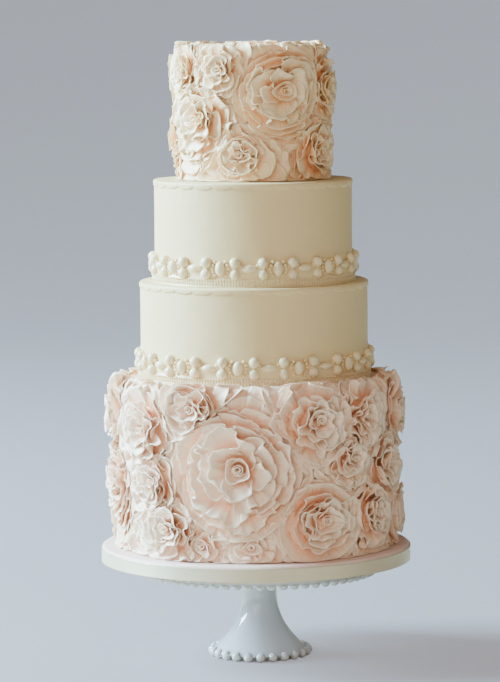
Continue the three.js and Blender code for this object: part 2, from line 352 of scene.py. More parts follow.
def set_beads(piece, rings):
    """Adds rings of beads to a piece, each given by the node tree's inputs, as plain mesh."""
    usual = {"Finish": piece.data.materials[0], "Paleness": bead_paleness, "Detail": bead_detail}
    for ring in rings:
        modifier = piece.modifiers.new("beads", "NODES")
        modifier.node_group = bead_ring
        values = {**usual, **ring}
        for item in bead_ring.interface.items_tree:
            if item.in_out == "INPUT" and item.name in values:
                modifier[item.identifier] = values[item.name]
    shown = piece.evaluated_get(bpy.context.evaluated_depsgraph_get())
    plain_mesh = bpy.data.meshes.new_from_object(shown)
    piece.modifiers.clear()
    piece.data = plain_mesh


def build_soft_surface():
    """A shader group for icing, satin and glass: soft patches, and the height of dents and grain."""
    tree = bpy.data.node_groups.new("soft_surface", "ShaderNodeTree")
    for name in ("Patch Size", "Dent Size", "Grain Size", "Grain Share"):
        tree.interface.new_socket(name, in_out="INPUT", socket_type="NodeSocketFloat")
    for name in ("Patches", "Height"):
        tree.interface.new_socket(name, in_out="OUTPUT", socket_type="NodeSocketFloat")
    given = tree.nodes.new("NodeGroupInput")
    result = tree.nodes.new("NodeGroupOutput")
    place = tree.nodes.new("ShaderNodeTexCoord")
    found = {}
    for name, roughness in (("Patch Size", 0.5), ("Dent Size", 0.4), ("Grain Size", 0.6)):
        scale = tree.nodes.new("ShaderNodeMath")
        scale.operation = "DIVIDE"
        scale.inputs[0].default_value = 1
        tree.links.new(given.outputs[name], scale.inputs[1])
        noise = tree.nodes.new("ShaderNodeTexNoise")
        noise.inputs["Detail"].default_value = 2
        noise.inputs["Roughness"].default_value = roughness
        tree.links.new(place.outputs["Object"], noise.inputs["Vector"])
        tree.links.new(scale.outputs[0], noise.inputs["Scale"])
        found[name] = noise.outputs["Fac"]
    mix = tree.nodes.new("ShaderNodeMix")
    tree.links.new(given.outputs["Grain Share"], mix.inputs["Factor"])
    tree.links.new(found["Dent Size"], mix.inputs["A"])
    tree.links.new(found["Grain Size"], mix.inputs["B"])
    tree.links.new(found["Patch Size"], result.inputs["Patches"])
    tree.links.new(mix.outputs["Result"], result.inputs["Height"])
    return tree


soft_surface = build_soft_surface()


def surfaced_material(name, colours, patch, dent, grain, grain_share, relief, roughness):
    """A material whose colour drifts between two in soft patches, with dents and fine grain."""
    material, shader = material_with_shader(name)
    tree = material.node_tree
    surface = tree.nodes.new("ShaderNodeGroup")
    surface.node_tree = soft_surface
    for socket, value in zip(surface.inputs, (patch, dent, grain, grain_share)):
        socket.default_value = value
    colour = tree.nodes.new("ShaderNodeMix")
    colour.data_type = "RGBA"
    colour.inputs["A"].default_value = (*colours[0], 1)
    colour.inputs["B"].default_value = (*colours[1], 1)
    tree.links.new(surface.outputs["Patches"], colour.inputs["Factor"])
    tree.links.new(colour.outputs["Result"], shader.inputs["Base Color"])
    bump = tree.nodes.new("ShaderNodeBump")
    bump.inputs["Strength"].default_value = 1
    bump.inputs["Distance"].default_value = relief
    tree.links.new(surface.outputs["Height"], bump.inputs["Height"])
    tree.links.new(bump.outputs["Normal"], shader.inputs["Normal"])
    shader.inputs["Roughness"].default_value = roughness
    return material, shader


def let_light_in(shader, weight, depth, reach):
    """Lets light into a surface. The reach is how far red, green and blue go, as shares."""
    shader.inputs["Subsurface Weight"].default_value = weight
    shader.inputs["Subsurface Scale"].default_value = depth
    shader.inputs["Subsurface Radius"].default_value = reach


def add_coat(shader, weight, roughness):
    """Lays a clear gloss over a surface."""
    shader.inputs["Coat Weight"].default_value = weight
    shader.inputs["Coat Roughness"].default_value = roughness


milk_glass, milk_glass_shader = surfaced_material(
    "milk_glass",
    colours=((0.57, 0.605, 0.70), (0.62, 0.655, 0.75)),
    patch=60 * mm,
    dent=14 * mm,
    grain=1.5 * mm,
    grain_share=0.02,
    relief=0.15 * mm,
    roughness=0.06,
)
let_light_in(milk_glass_shader, weight=0.7, depth=12 * mm, reach=(1, 1, 1))
add_coat(milk_glass_shader, weight=0.35, roughness=0.04)


def traced(radius, height, offsets):
    """Profile points at offsets in millimetres, out from a radius and up from a height."""
    return [(radius + out * mm, height + up * mm) for out, up in offsets]


plate_underside = stand_height - plate_thickness
rim_bottom = stand_height - plate_rim
stand_profile = [(0, foot_hollow)]
stand_profile += traced(foot_disc, foot_hollow, [(-8, 0)])
stand_profile += traced(foot_disc, 0, [(-6, 0), (-1, 0), (0, 1)])
stand_profile += traced(foot_disc, foot_rim, [(0, -2)])
stand_profile += traced(foot_radius, foot_rim, [(0, -1), (0.5, 0)])
for step in range(flare_steps + 1):
    rise = step / flare_steps
    spread = (foot_radius - stem_radius) * (1 - rise) ** flare_curve
    stand_profile.append((stem_radius + spread, flare_bottom + (flare_top - flare_bottom) * rise))
for step in range(collar_steps + 1):
    bend = math.radians(90) * step / collar_steps
    across = stem_radius + collar * (1 - math.cos(bend))
    stand_profile.append((across, plate_underside - collar * (1 - math.sin(bend))))
stand_profile += traced(plate_radius, plate_underside, [(-11, 0)])
stand_profile += traced(plate_radius, rim_bottom, [(-8, 0.5), (-7, 0), (-1.5, 0), (-0.4, 0.6), (0, 2)])
stand_profile += traced(plate_radius, stand_height, [(0, -2), (-0.6, -0.6), (-2, 0)])
stand_profile.append((0, stand_height))

pedestal_stand = mesh_object("glass_stand", *turned(stand_profile, turned_segments), milk_glass)
glass_ball = (glass_bead, glass_bead, glass_bead)
plate_beads = {
    "Beads": plate_bead_count,
    "Ring Radius": plate_radius - plate_bead_inset,
    "Height": rim_bottom,
    "Bead Size": glass_ball,
    "Unevenness": bead_unevenness,
}
foot_beads = {
    "Beads": foot_bead_count,
    "Ring Radius": foot_radius - foot_bead_inset,
    "Height": glass_bead,
    "Bead Size": glass_ball,
    "Unevenness": 0.0,
    "Detail": round_bead_detail,
}
set_beads(pedestal_stand, [plate_beads, foot_beads])
pedestal_stand.data.transform(Matrix.Translation((stand_middle[0], stand_middle[1], 0)))


def fit_out(piece, slot, *nodes):
    """The piece stands for those solids on the cake's one body, and hides them. The slot is not used.
    """
    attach(piece, "root")
    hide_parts(*nodes)


fit_out(pedestal_stand, "milk_glass", "pedestal_stand")

# Cake board: a round drum covered in rolled icing of a pinker blush than the roses. The icing
# is smoothed by hand, so its top swells a little and its edge is soft.
board_low, board_high = map(np.array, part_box("cake_board"))
board_radius = board_high[0]
board_edge = 3 * mm
edge_steps = 8
board_rings = (0.97, 0.94, 0.91, 0.88, 0.85, 0.8, 0)
board_swell = 0.25 * mm
board_swell_period = 90 * mm

board_icing, board_shader = surfaced_material(
    "board_icing",
    colours=((0.87, 0.62, 0.59), (0.91, 0.69, 0.65)),
    patch=45 * mm,
    dent=16 * mm,
    grain=1.2 * mm,
    grain_share=0.12,
    relief=0.6 * mm,
    roughness=0.48,
)
let_light_in(board_shader, weight=0.2, depth=3 * mm, reach=(1.0, 0.5, 0.35))


def rounded_edge(radius, top, edge, steps):
    """Profile points over a rounded top edge, from the side up on to the top."""
    points = []
    for step in range(steps + 1):
        bend = math.radians(90) * step / steps
        points.append((radius - edge * (1 - math.cos(bend)), top - edge * (1 - math.sin(bend))))
    return points


def swollen(points, amount, period):
    """Points with soft unevenness over them, always the same for the same places."""
    ripples = np.zeros_like(points)
    for axis in range(3):
        others = np.delete(points, axis, axis=1)
        first = np.sin(2 * math.pi * others[:, 0] / period + axis)
        ripples[:, axis] = first * np.sin(2 * math.pi * others[:, 1] / (period * 1.3) + 2 * axis)
    return points + amount * ripples


board_profile = [(0, board_low[2])]
board_profile += traced(board_radius, board_low[2], [(-1, 0), (0, 1)])
board_profile += rounded_edge(board_radius, board_high[2], board_edge, edge_steps)
board_profile += [(board_radius * share, board_high[2]) for share in board_rings]
board_points, board_faces = turned(board_profile, turned_segments)
board_points = swollen(board_points, -board_swell, board_swell_period)
board_points[:, 2] = np.clip(board_points[:, 2], board_low[2], board_high[2])
cake_board = mesh_object("iced_board", board_points, board_faces, board_icing)
fit_out(cake_board, "board_icing", "cake_board")

# Satin ribbon: a single strip that is glued round the board's side. Its two edges stand out a
# little, and its ends overlap at the back.
ribbon_low, ribbon_high = map(np.array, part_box("board_ribbon"))
ribbon_outside = ribbon_high[0]
ribbon_inset = 0.72 * mm
ribbon_thickness = 0.6 * mm
ribbon_overlap = 12 * mm
overlap_step = 0.35 * mm
ribbon_hem = 0.25 * mm
ribbon_slack = 0.10 * mm
ribbon_rows = 12
ribbon_columns = 480

satin_ribbon, satin_shader = surfaced_material(
    "satin_ribbon",
    colours=((0.68, 0.60, 0.46), (0.74, 0.66, 0.52)),
    patch=35 * mm,
    dent=22 * mm,
    grain=0.5 * mm,
    grain_share=0.10,
    relief=0.35 * mm,
    roughness=0.38,
)
satin_shader.inputs["Metallic"].default_value = 0.15
satin_shader.inputs["Specular IOR Level"].default_value = 0.3
satin_shader.inputs["Anisotropic"].default_value = 0.85
satin_shader.inputs["Anisotropic Rotation"].default_value = 0.25
add_coat(satin_shader, weight=0.2, roughness=0.2)


def facing_out(points, faces):
    """The four-sided faces of a closed shell, turned round if they face inwards."""
    corners = points[faces] - points.mean(axis=0)
    volume = np.sum(np.cross(corners[:, 0], corners[:, 1]) * corners[:, 2])
    volume += np.sum(np.cross(corners[:, 0], corners[:, 2]) * corners[:, 3])
    return faces if volume > 0 else faces[:, ::-1]


def thick_sheet(middle, half_thickness):
    """A closed shell round a grid of middle points, as points and faces that face outwards."""
    lengthways = np.gradient(middle, axis=0)
    crossways = np.gradient(middle, axis=1)
    normals = np.cross(lengthways, crossways)
    normals /= np.maximum(np.linalg.norm(normals, axis=-1, keepdims=True), 1e-12)
    offset = normals * half_thickness
    skin = np.concatenate([middle + offset, (middle - offset)[:, ::-1]], axis=1)
    rows, columns = skin.shape[:2]
    faces = grid_faces(rows, columns, closed_columns=True)
    near = np.arange(columns // 2 - 1)
    far = columns - 1 - near
    start_cap = np.stack([near, near + 1, far - 1, far], axis=-1)
    end_cap = start_cap[:, ::-1] + (rows - 1) * columns
    faces = np.concatenate([faces, start_cap, end_cap])
    points = skin.reshape(-1, 3)
    return points, facing_out(points, faces)


around_board = 2 * math.pi * ribbon_outside
lengths = np.linspace(-ribbon_overlap / 2, around_board + ribbon_overlap / 2, ribbon_columns)[:, None]
shares = np.linspace(0, 1, ribbon_rows)[None, :]
angles = lengths / ribbon_outside + math.pi
layer = overlap_step * np.clip((lengths - around_board) / ribbon_overlap, -0.5, 0.5)
hem = ribbon_hem * np.abs(2 * shares - 1) ** 6
slack = ribbon_slack * np.sin(37 * angles) * np.sin(5 * angles + 1)
ribbon_radii = ribbon_outside - ribbon_inset + layer + hem + slack * (1 - shares)
ribbon_heights = ribbon_low[2] + (ribbon_high[2] - ribbon_low[2]) * shares + 0 * lengths
ribbon_middle = np.stack(
    [ribbon_radii * np.sin(angles), -ribbon_radii * np.cos(angles), ribbon_heights], axis=-1
)
ribbon_points, ribbon_faces = thick_sheet(ribbon_middle, ribbon_thickness / 2)
board_ribbon = mesh_object("satin_strip", ribbon_points, ribbon_faces, satin_ribbon)
fit_out(board_ribbon, "satin_ribbon", "board_ribbon")

# Bottom tier: a plain iced tier under roses of sugar paste, rolled thin, gathered into strips of
# petals and glued on round a coiled bud. Each rose is one piece and keeps to its own ground.

# Everything about the roses is in millimetres until it is placed. A tier's rise is how far petals
# may stand above its top, and its relief is a share by which its roses stand out more or less.
# A rose is given by its azimuth in degrees, its height above the tier's foot, its radius and how
# it is made.
bottom_tier = {
    "name": "bottom",
    "radius": 132.5,
    "base": 114.0,
    "top": 282.5,
    "shoulder": 12.0,
    "rise": 7.0,
    "relief": 1.25,
    "roses": [
        (-8.7, 88, 62, "open"), (-27, 146, 25, "disc"), (-53, 121, 32, "full"), (-46, 72, 21, "full"),
        (-38.5, 27, 25, "full"), (-80, 66, 31, "full"), (-84, 133, 27, "full"), (25, 133, 31, "full"),
        (49, 134, 27, "full"), (42, 96, 17, "full"), (27, 36, 34, "half"), (66, 84, 28, "full"),
        (56, 38, 21, "full"), (84, 36, 28, "half"), (84, 134, 26, "full"), (-2, 15, 12, "tuck"),
        (-22, 15, 12, "tuck"), (172, 84, 58, "open"), (134, 128, 32, "full"), (142, 40, 30, "half"),
        (112, 92, 30, "full"), (114, 32, 25, "full"), (-150, 128, 31, "full"), (-132, 74, 30, "half"),
        (-144, 26, 25, "full"), (-108, 34, 28, "full"), (-112, 124, 30, "full"), (160, 150, 18, "full"),
    ],
}
# How a rose is made: the bud's height and radius, and then for each ring of petals its reach
# between the bud and the rim, how many petals it has, how far they stand out, the length and
# the depth of their ruffles, how cupped they are and how pointed.
rose_kinds = {
    "open": {
        "bud": (14.0, 5.6),
        "rings": (
            (0.08, 2, 14.2, 20, 0.7, 1.1, 1.5), (0.29, 5, 14.2, 26, 2.2, 1.2, 7.0),
            (0.50, 4, 13.0, 32, 3.4, 1.4, 6.0), (0.69, 3, 11.3, 46, 3.0, 1.6, 1.0),
            (0.85, 3, 9.6, 58, 2.0, 1.8, 0.0), (1.00, 3, 7.8, 70, 1.3, 1.9, 0.0),
        ),
    },
    "half": {
        "bud": (13.8, 5.0),
        "rings": (
            (0.20, 3, 14.0, 16, 1.8, 1.1, 3.0), (0.38, 4, 13.8, 20, 2.4, 1.2, 4.0),
            (0.57, 4, 12.8, 26, 2.8, 1.4, 2.0), (0.78, 3, 11.2, 40, 2.2, 1.6, 0.0),
            (1.00, 3, 9.0, 60, 1.5, 1.8, 0.0),
        ),
    },
    "full": {
        "bud": (13.2, 3.4),
        "rings": (
            (0.22, 3, 14.2, 12, 2.2, 1.0, 3.0), (0.46, 4, 14.0, 16, 3.0, 1.1, 5.0),
            (0.72, 4, 12.2, 24, 3.6, 1.3, 5.0), (1.00, 4, 9.4, 34, 3.2, 1.6, 3.0),
        ),
    },
    "disc": {
        "bud": (11.6, 2.8),
        "rings": (
            (0.26, 3, 12.2, 10, 2.4, 1.0, 2.0), (0.52, 3, 12.2, 14, 3.4, 1.1, 5.0),
            (0.84, 2, 12.8, 90, 0.7, 2.2, 0.0), (1.00, 3, 9.5, 50, 1.6, 1.6, 0.0),
        ),
    },
    "tuck": {
        "bud": (8.0, 2.0),
        "rings": ((0.36, 2, 8.4, 12, 2.0, 1.0, 3.0), (1.00, 3, 6.8, 24, 2.4, 1.4, 2.0)),
    },
}
paste_thickness = 1.25
edge_thinning = 0.7
sample_step = 1.4
across_petal = np.array([0, 0.2, 0.4, 0.58, 0.75, 0.9, 1.0])
over_shoulder = 0.1
lowest_petal = 0.9
lowest_reach = 0.3
furthest_out = 14.6
petal_rounding = 1.25
fold_growth = 1.35
ruffle_sway = 0.07
full_sway_depth = 2.8
edge_curl = 0.6
edge_curl_growth = 7
# A point's lift grows towards the petal's free edge and with how far it stands out. The material paints
# shade where it is low and a highlight where it is high.
lift_by_spread = 0.62
lift_by_height = 0.38
crumples = ((0.38 * mm, 13.1 * mm), (0.26 * mm, 7.9 * mm))
pleat_width = 3.4
pleat_depth = 0.55 * mm
# Over the tier's shoulder, petals that lie further out than this turn upright, up to a share. The
# rest lies flatter, up to a share that it reaches at a bend in radians.
free_edge_out = 6
uprightness = 0.75
flattening = 0.45
flat_bend = 0.9


def on_tier(tier, along, up, out):
    """Places, in metres, that lie along, up and out from the tier's side. They bend over its
    shoulder, all but the petals' free edges, which stand up there."""
    straight = tier["top"] - tier["base"] - tier["shoulder"]
    above = np.clip(up - straight, 0, None)
    upright = uprightness * np.clip((out - free_edge_out) / free_edge_out, 0, 1)
    bend = above * (1 - upright) / tier["shoulder"]
    out = out * (1 - flattening * np.clip(bend / flat_bend, 0, 1) ** 2)
    radius = tier["radius"] - tier["shoulder"] + (tier["shoulder"] + out) * np.cos(bend)
    height = tier["base"] + np.minimum(up, straight) + (tier["shoulder"] + out) * np.sin(bend)
    height = height + above * upright
    height = soft_limit(height, 0, tier["top"] + tier["rise"], 0.7)
    azimuth = along / tier["radius"]
    return mm * np.stack([radius * np.sin(azimuth), -radius * np.cos(azimuth), height], axis=-1)


def highest_petal(tier):
    """How far up the tier's side, and a little over its shoulder, the roses may reach."""
    return tier["top"] - tier["base"] + over_shoulder * tier["shoulder"]


def reach_of(tier, rose, directions):
    """How far a rose reaches in each direction before it meets the next one or the tier's edge."""
    azimuth, height, radius = rose[:3]
    cosines, sines = np.cos(directions), np.sin(directions)
    upwards = (highest_petal(tier) - height) / np.maximum(sines, 1e-6)
    downwards = (lowest_reach - height) / np.minimum(sines, -1e-6)
    reach = np.where(sines > 0, upwards, downwards)
    turn = 2 * math.pi * tier["radius"]
    for other in tier["roses"]:
        if other is rose:
            continue
        arc = math.radians(other[0] - azimuth) * tier["radius"]
        across = arc - turn * round(arc / turn)
        rise = other[1] - height
        towards = np.maximum(across * cosines + rise * sines, 1e-3)
        share = across**2 + rise**2 + radius**2 - other[2] ** 2
        reach = np.minimum(reach, share / (2 * towards))
    return reach


def wander(chance, shares, cycles):
    """A soft random line that swings about nought, between about -1 and 1."""
    line = np.zeros_like(shares)
    for factor, size in ((0.7, 0.5), (1.3, 0.35), (2.4, 0.25)):
        line += size * np.sin(2 * math.pi * cycles * factor * shares + chance.uniform(0, 6.3))
    return line


def soft_limit(values, low, high, softness):
    """Values that bend away from the two limits before they reach them."""
    values = low + softness * np.logaddexp(0, (values - low) / softness)
    return high - softness * np.logaddexp(0, (high - values) / softness)


def edge_crumples(strip, shares, length, chance):
    """How far a strip's free edge juts out, at its blunt point and at a few sharp creases."""
    aside = 0.3 * chance.uniform(-1, 1)
    jut = strip["point"] * np.maximum(1 - np.abs(2 * shares - 1 + aside), 0) ** 1.6
    for _ in range(int(chance.poisson(length / strip["crease_every"]))):
        place = chance.uniform(0.08, 0.92)
        width = chance.uniform(1.8, 4.0) / length
        size = chance.uniform(1.2, 3.8)
        jut = jut + size * np.exp(-np.abs((shares - place) / width) ** 1.5)
    return jut


# A strip runs round its rose from one angle to another, and outwards from its foot to its edge.
# Its ends taper to a share of its size, the tuck. The sheet rises from where it is sunk to its
# height, and slants by its layer, so that each petal laps over the next. The rest says how it is
# ruffled, cupped, pointed and creased, and how far out in the rose it lies.
def petal_strip(tier, centre, chance, strip):
    """One ruffled strip of petals, as points, faces, and for each point its lift above the recesses,
    which the material paints as shade where low and as a highlight at the free edges, and its place
    along the strip."""
    spans = strip["edge_of"](np.linspace(strip["start"], strip["end"], 9))
    length = abs(strip["end"] - strip["start"]) * float(np.mean(spans))
    samples = max(10, int(length / sample_step))
    shares = np.linspace(0, 1, samples)[:, None]
    spread = across_petal[None, :]
    angle = strip["start"] + (strip["end"] - strip["start"]) * shares
    ends = np.clip(np.minimum(shares, 1 - shares) / strip["taper"], 0, 1)
    ends = np.sqrt(np.clip(ends * (2 - ends), 0, 1))
    fullness = strip["tuck"] + (1 - strip["tuck"]) * ends
    foot = strip["foot_of"](angle)
    edge = foot + (strip["edge_of"](angle) - foot) * fullness
    rise = (strip["height"] - strip["sunk"]) * fullness * tier["relief"]

    cup = strip["cup"] * (1 + 0.25 * wander(chance, shares, length / 60))
    outwards = 1 - (1 - spread) ** petal_rounding
    upwards = spread**cup
    rounded = (1 - 0.9 * spread) ** (petal_rounding - 1)
    run_slope = np.maximum(edge - foot, 1) * petal_rounding * rounded
    rise_slope = np.maximum(rise, 1) * cup * np.maximum(spread, 0.1) ** (cup - 1)
    steepness = np.hypot(run_slope, rise_slope)
    phase = 2 * math.pi * length / strip["ruffle"] * shares + chance.uniform(0, 6.3)
    phase = phase + 1.8 * wander(chance, shares, length / 45)
    depth = strip["depth"] * (1 + 0.5 * wander(chance, shares, length / 40))
    fold = depth * spread**fold_growth * np.sin(phase)
    jut = edge_crumples(strip, shares, length, chance)
    curl = edge_curl * spread**edge_curl_growth * (0.6 + 1.4 * wander(chance, shares, length / 30))
    span = foot + (edge - foot) * outwards - fold * rise_slope / steepness + (jut + 0.5) * spread**3
    out = strip["sunk"] + rise * upwards + fold * run_slope / steepness - curl
    sway = min(1, strip["depth"] / full_sway_depth)
    sideways = -ruffle_sway * strip["ruffle"] * np.sin(2 * phase) * spread**1.2 * sway
    angle = angle + sideways / np.maximum(span, 4)
    out = out + strip["layer"] * (2 * shares - 1)

    highest = highest_petal(tier) + chance.uniform(0, 4)
    up = soft_limit(centre[1] + span * np.sin(angle), lowest_petal, highest, 0.8)
    out = soft_limit(out, 0.8, furthest_out * tier["relief"], 0.4)
    middle = on_tier(tier, centre[0] + span * np.cos(angle), up, out)
    thinned = 1 - edge_thinning * spread**3
    points, faces = thick_sheet(middle, mm * paste_thickness / 2 * thinned[..., None])
    # The lift, which the material turns into painted shade in the recesses and a painted highlight at
    # the free edges.
    raised = (out / tier["relief"] - 2) / 9
    lift = np.clip(lift_by_spread * spread + lift_by_height * raised, 0, 1)
    lift = np.concatenate([lift, lift[:, ::-1]], axis=1)
    along = length * shares + 100 * strip["start"] + 0 * lift
    return points, faces, lift.ravel(), along.ravel()


bud_turns = 2.3
rose_overlap = 3.0
outer_blend = 6.0
winding = 0.12
ring_turn = 2.4
petal_layer = 1.4
strip_sunk = 1.6


def rose_strips(tier, rose, chance):
    """The strips of one rose, from the bud to the outermost ring, and the filling round it."""
    radius, kind = rose[2], rose_kinds[rose[3]]
    directions = np.linspace(-math.pi, math.pi, 361)
    reach = np.minimum(reach_of(tier, rose, directions) + rose_overlap, 3 * radius)
    blurred = sum(np.roll(reach[:-1], shift) for shift in range(-7, 8)) / 15
    reach = np.minimum(np.append(blurred, blurred[0]), reach + 1)

    def table_of(values):
        """The values in any direction, read off between the directions that they are known for."""
        return lambda angle: np.interp((angle + math.pi) % (2 * math.pi) - math.pi, directions, values)

    fit = table_of(np.minimum(reach / radius, 1))
    spare = table_of(np.maximum(reach - radius, 0))

    def ring_of(span, extra, begin, end):
        """A ring's reach. It winds outwards a little along each petal, and is not quite round."""
        fitted = min(1, span / radius) ** 2

        def reach_at(angle):
            wind = winding * ((angle - begin) / (end - begin) - 0.5)
            oval = 0.045 * np.sin(2 * angle + start) + 0.025 * np.sin(3 * angle + 2 * start)
            wound = span * (1 + wind + oval)
            return wound * (1 - (1 - fit(angle)) * fitted) + np.minimum(spare(angle), extra)

        return reach_at

    bud_height, bud = kind["bud"]
    start = chance.uniform(0, 6.3)
    coil = 2 * math.pi * bud_turns
    strips = [{
        "edge_of": lambda angle: 1.2 + (bud - 1.2) * np.abs(angle - start) / coil,
        "foot_of": lambda angle: 0.8 + (bud - 1.6) * np.abs(angle - start) / coil,
        "start": start, "end": start + coil, "taper": 0.04, "tuck": 0.6,
        "sunk": bud_height - 7, "height": bud_height, "layer": -0.5,
        "ruffle": 12, "depth": 0.35, "cup": 1.0, "point": 0.0, "crease_every": 30, "outer": 0.0,
    }]
    inner = bud
    for number, (outer, petals, height, ruffle, depth, cup, point) in enumerate(kind["rings"]):
        span = bud + (radius - bud) * outer
        foot = max(inner - 0.35 * (span - inner), 0.5 * span)
        inner = span
        extra = outer_blend if outer == 1 and rose[3] in ("full", "half") else 0
        turn = start + ring_turn * number
        for part in range(petals):
            begin = turn + 2 * math.pi * part / petals + chance.uniform(-0.15, 0.15)
            end = begin + 2 * math.pi / petals + 18 / span
            reach_change = (0.03 + 0.08 * (1 - outer)) * chance.uniform(-1, 1)
            strips.append({
                "edge_of": ring_of(span * (1 + reach_change), extra, begin, end),
                "foot_of": ring_of(foot, 0, begin, end),
                "start": begin, "end": end, "taper": 0.2 + 0.2 * (1 - outer), "tuck": 0.35,
                "sunk": strip_sunk, "height": height + chance.uniform(-1.5, 1.0), "layer": petal_layer,
                "ruffle": ruffle * chance.uniform(0.85, 1.2),
                "depth": depth * chance.uniform(0.7, 1.2),
                "cup": cup, "point": point * chance.uniform(0.6, 1.2),
                "crease_every": 20 + 0.5 * ruffle, "outer": outer**1.5,
            })
    rim = kind["rings"][-1][2]
    return strips + filling_strips(radius, rim, directions, spare, chance)


filling_step = 12.0
filling_length = 48
filling_layer = 0.6
filling_tucked_in = 5
least_gap = 5


def filling_strips(radius, rim, directions, spare, chance):
    """Draped ruffles that fill the ground between a round rose and its neighbours."""
    free = spare(directions) > least_gap
    if not free.any():
        return []
    quietest = int(np.argmin(spare(directions[:-1])))
    turned_free = np.roll(free[:-1], -quietest)
    steps = np.flatnonzero(np.diff(np.concatenate([[False], turned_free, [False]]).astype(int)))
    inner = radius - filling_tucked_in
    strips = []
    for begin, end in zip(steps[::2], steps[1::2]):
        first = directions[0] + math.radians(float(quietest + begin))
        arc = math.radians(float(end - begin))
        widest = float(np.max(spare(first + arc * np.linspace(0, 1, 25))))
        rows = max(1, round(widest / filling_step))
        for row in range(1, rows + 1):
            count = max(1, round(arc * (radius + widest * row / rows) / filling_length))
            for part in range(count):
                middle = first + arc * (part + 0.5) / count
                half = arc / count / 2 + 8 / radius
                lower = chance.uniform(0.6, 2.2) + 0.8 * row
                strips.append({
                    "edge_of": lambda angle, share=row / rows: radius + spare(angle) * share,
                    "foot_of": lambda angle, share=(row - 1) / rows: inner + spare(angle) * share,
                    "start": middle - half, "end": middle + half, "taper": 0.3, "tuck": 0.2,
                    "sunk": strip_sunk, "height": rim - lower, "layer": filling_layer,
                    "ruffle": chance.uniform(30, 52), "depth": chance.uniform(1.6, 2.8),
                    "cup": 1.4, "point": 1.5, "crease_every": 40, "outer": 1.0,
                })
    return strips


# The backing of a rose reaches a little way under the next one. Its places are shares of its
# reach, over the top to the rim and back underneath, and each lies that far out.
backing_overlap = 1.5
backing_places = np.array([0.5, 0.7, 0.9, 0.99, 1.0, 0.6])
backing_out = [3.0, 2.8, 2.6, 2.2, 0.5, 0.5]
# Its low lift gives the backing the painted shade of the recesses where it shows between petals.
backing_lift = 0.28
cone_below_bud = 4.5


def rose_backing(tier, rose, centre):
    """The thin round of paste that a rose is built on, with a cone under the bud."""
    bud_height, bud = rose_kinds[rose[3]]["bud"]
    cone_height = bud_height - cone_below_bud
    directions = np.linspace(-math.pi, math.pi, 121)[:-1]
    reach = np.minimum(reach_of(tier, rose, directions) + backing_overlap, 3 * rose[2])[:, None]
    cone = np.array([0.3, 0.3, 0.8 * bud, 1.4 * bud])[None, :] + 0 * reach
    sheet = np.maximum(reach * backing_places[None, :], 1.5 * bud)
    span = np.concatenate([cone, sheet], axis=1)
    out = np.array([0.5, cone_height, cone_height - 1, 3.4, *backing_out])[None, :] + 0 * reach
    up = np.maximum(centre[1] + span * np.sin(directions)[:, None], 0.5)
    points = on_tier(tier, centre[0] + span * np.cos(directions)[:, None], up, out).reshape(-1, 3)
    faces = grid_faces(*out.shape, closed_rows=True, closed_columns=True)
    return points, facing_out(points, faces)


def set_point_values(piece, layer, values):
    """Keeps a value for each point of a piece, for its material to read."""
    made = piece.data.attributes.new(layer, "FLOAT", "POINT")
    made.data.foreach_set("value", np.asarray(values, dtype=np.float32))


def make_rose(tier, index, rose, material):
    """One rose, as a single piece of many petals on a thin backing. Its inner rings sit off the
    middle, a little to the right and upwards."""
    chance = np.random.default_rng(1000 * len(tier["roses"]) + index)
    centre = np.array([math.radians(rose[0]) * tier["radius"], rose[1]])
    right = 0.05 + chance.uniform(-0.05, 0.05)
    shift = rose[2] * np.array([right, 0.09 + chance.uniform(-0.04, 0.04)])
    points, faces, lifts, alongs, count = [], [], [], [], 0
    for strip in rose_strips(tier, rose, chance):
        new_centre = centre + shift * (1 - strip["outer"])
        new_points, new_faces, lift, along = petal_strip(tier, new_centre, chance, strip)
        points.append(new_points)
        faces.append(new_faces + count)
        lifts.append(lift)
        alongs.append(along)
        count += len(new_points)
    backing_points, backing_faces = rose_backing(tier, rose, centre)
    points.append(backing_points)
    faces.append(backing_faces + count)
    lifts.append(np.full(len(backing_points), backing_lift))
    alongs.append(np.zeros(len(backing_points)))
    points = np.concatenate(points)
    crumpled = points
    for amount, period in crumples:
        crumpled = swollen(crumpled, amount, period)
    crumpled[:, 2] = points[:, 2]
    node = f"{tier['name']}_rose_{index + 1:02d}"
    piece = mesh_object(f"{node}_petals", crumpled, np.concatenate(faces), material, merge=False)
    set_point_values(piece, "lift", np.concatenate(lifts))
    set_point_values(piece, "along", np.concatenate(alongs))
    fit_out(piece, "ruffle_icing", node)


ruffle_icing, ruffle_shader = surfaced_material(
    "ruffle_icing",
    colours=((1.0, 0.64, 0.46), (1.0, 0.81, 0.67)),
    patch=40 * mm,
    dent=8 * mm,
    grain=0.9 * mm,
    grain_share=0.08,
    relief=0.7 * mm,
    roughness=0.4,
)
let_light_in(ruffle_shader, weight=0.15, depth=2.5 * mm, reach=(1.0, 0.6, 0.45))


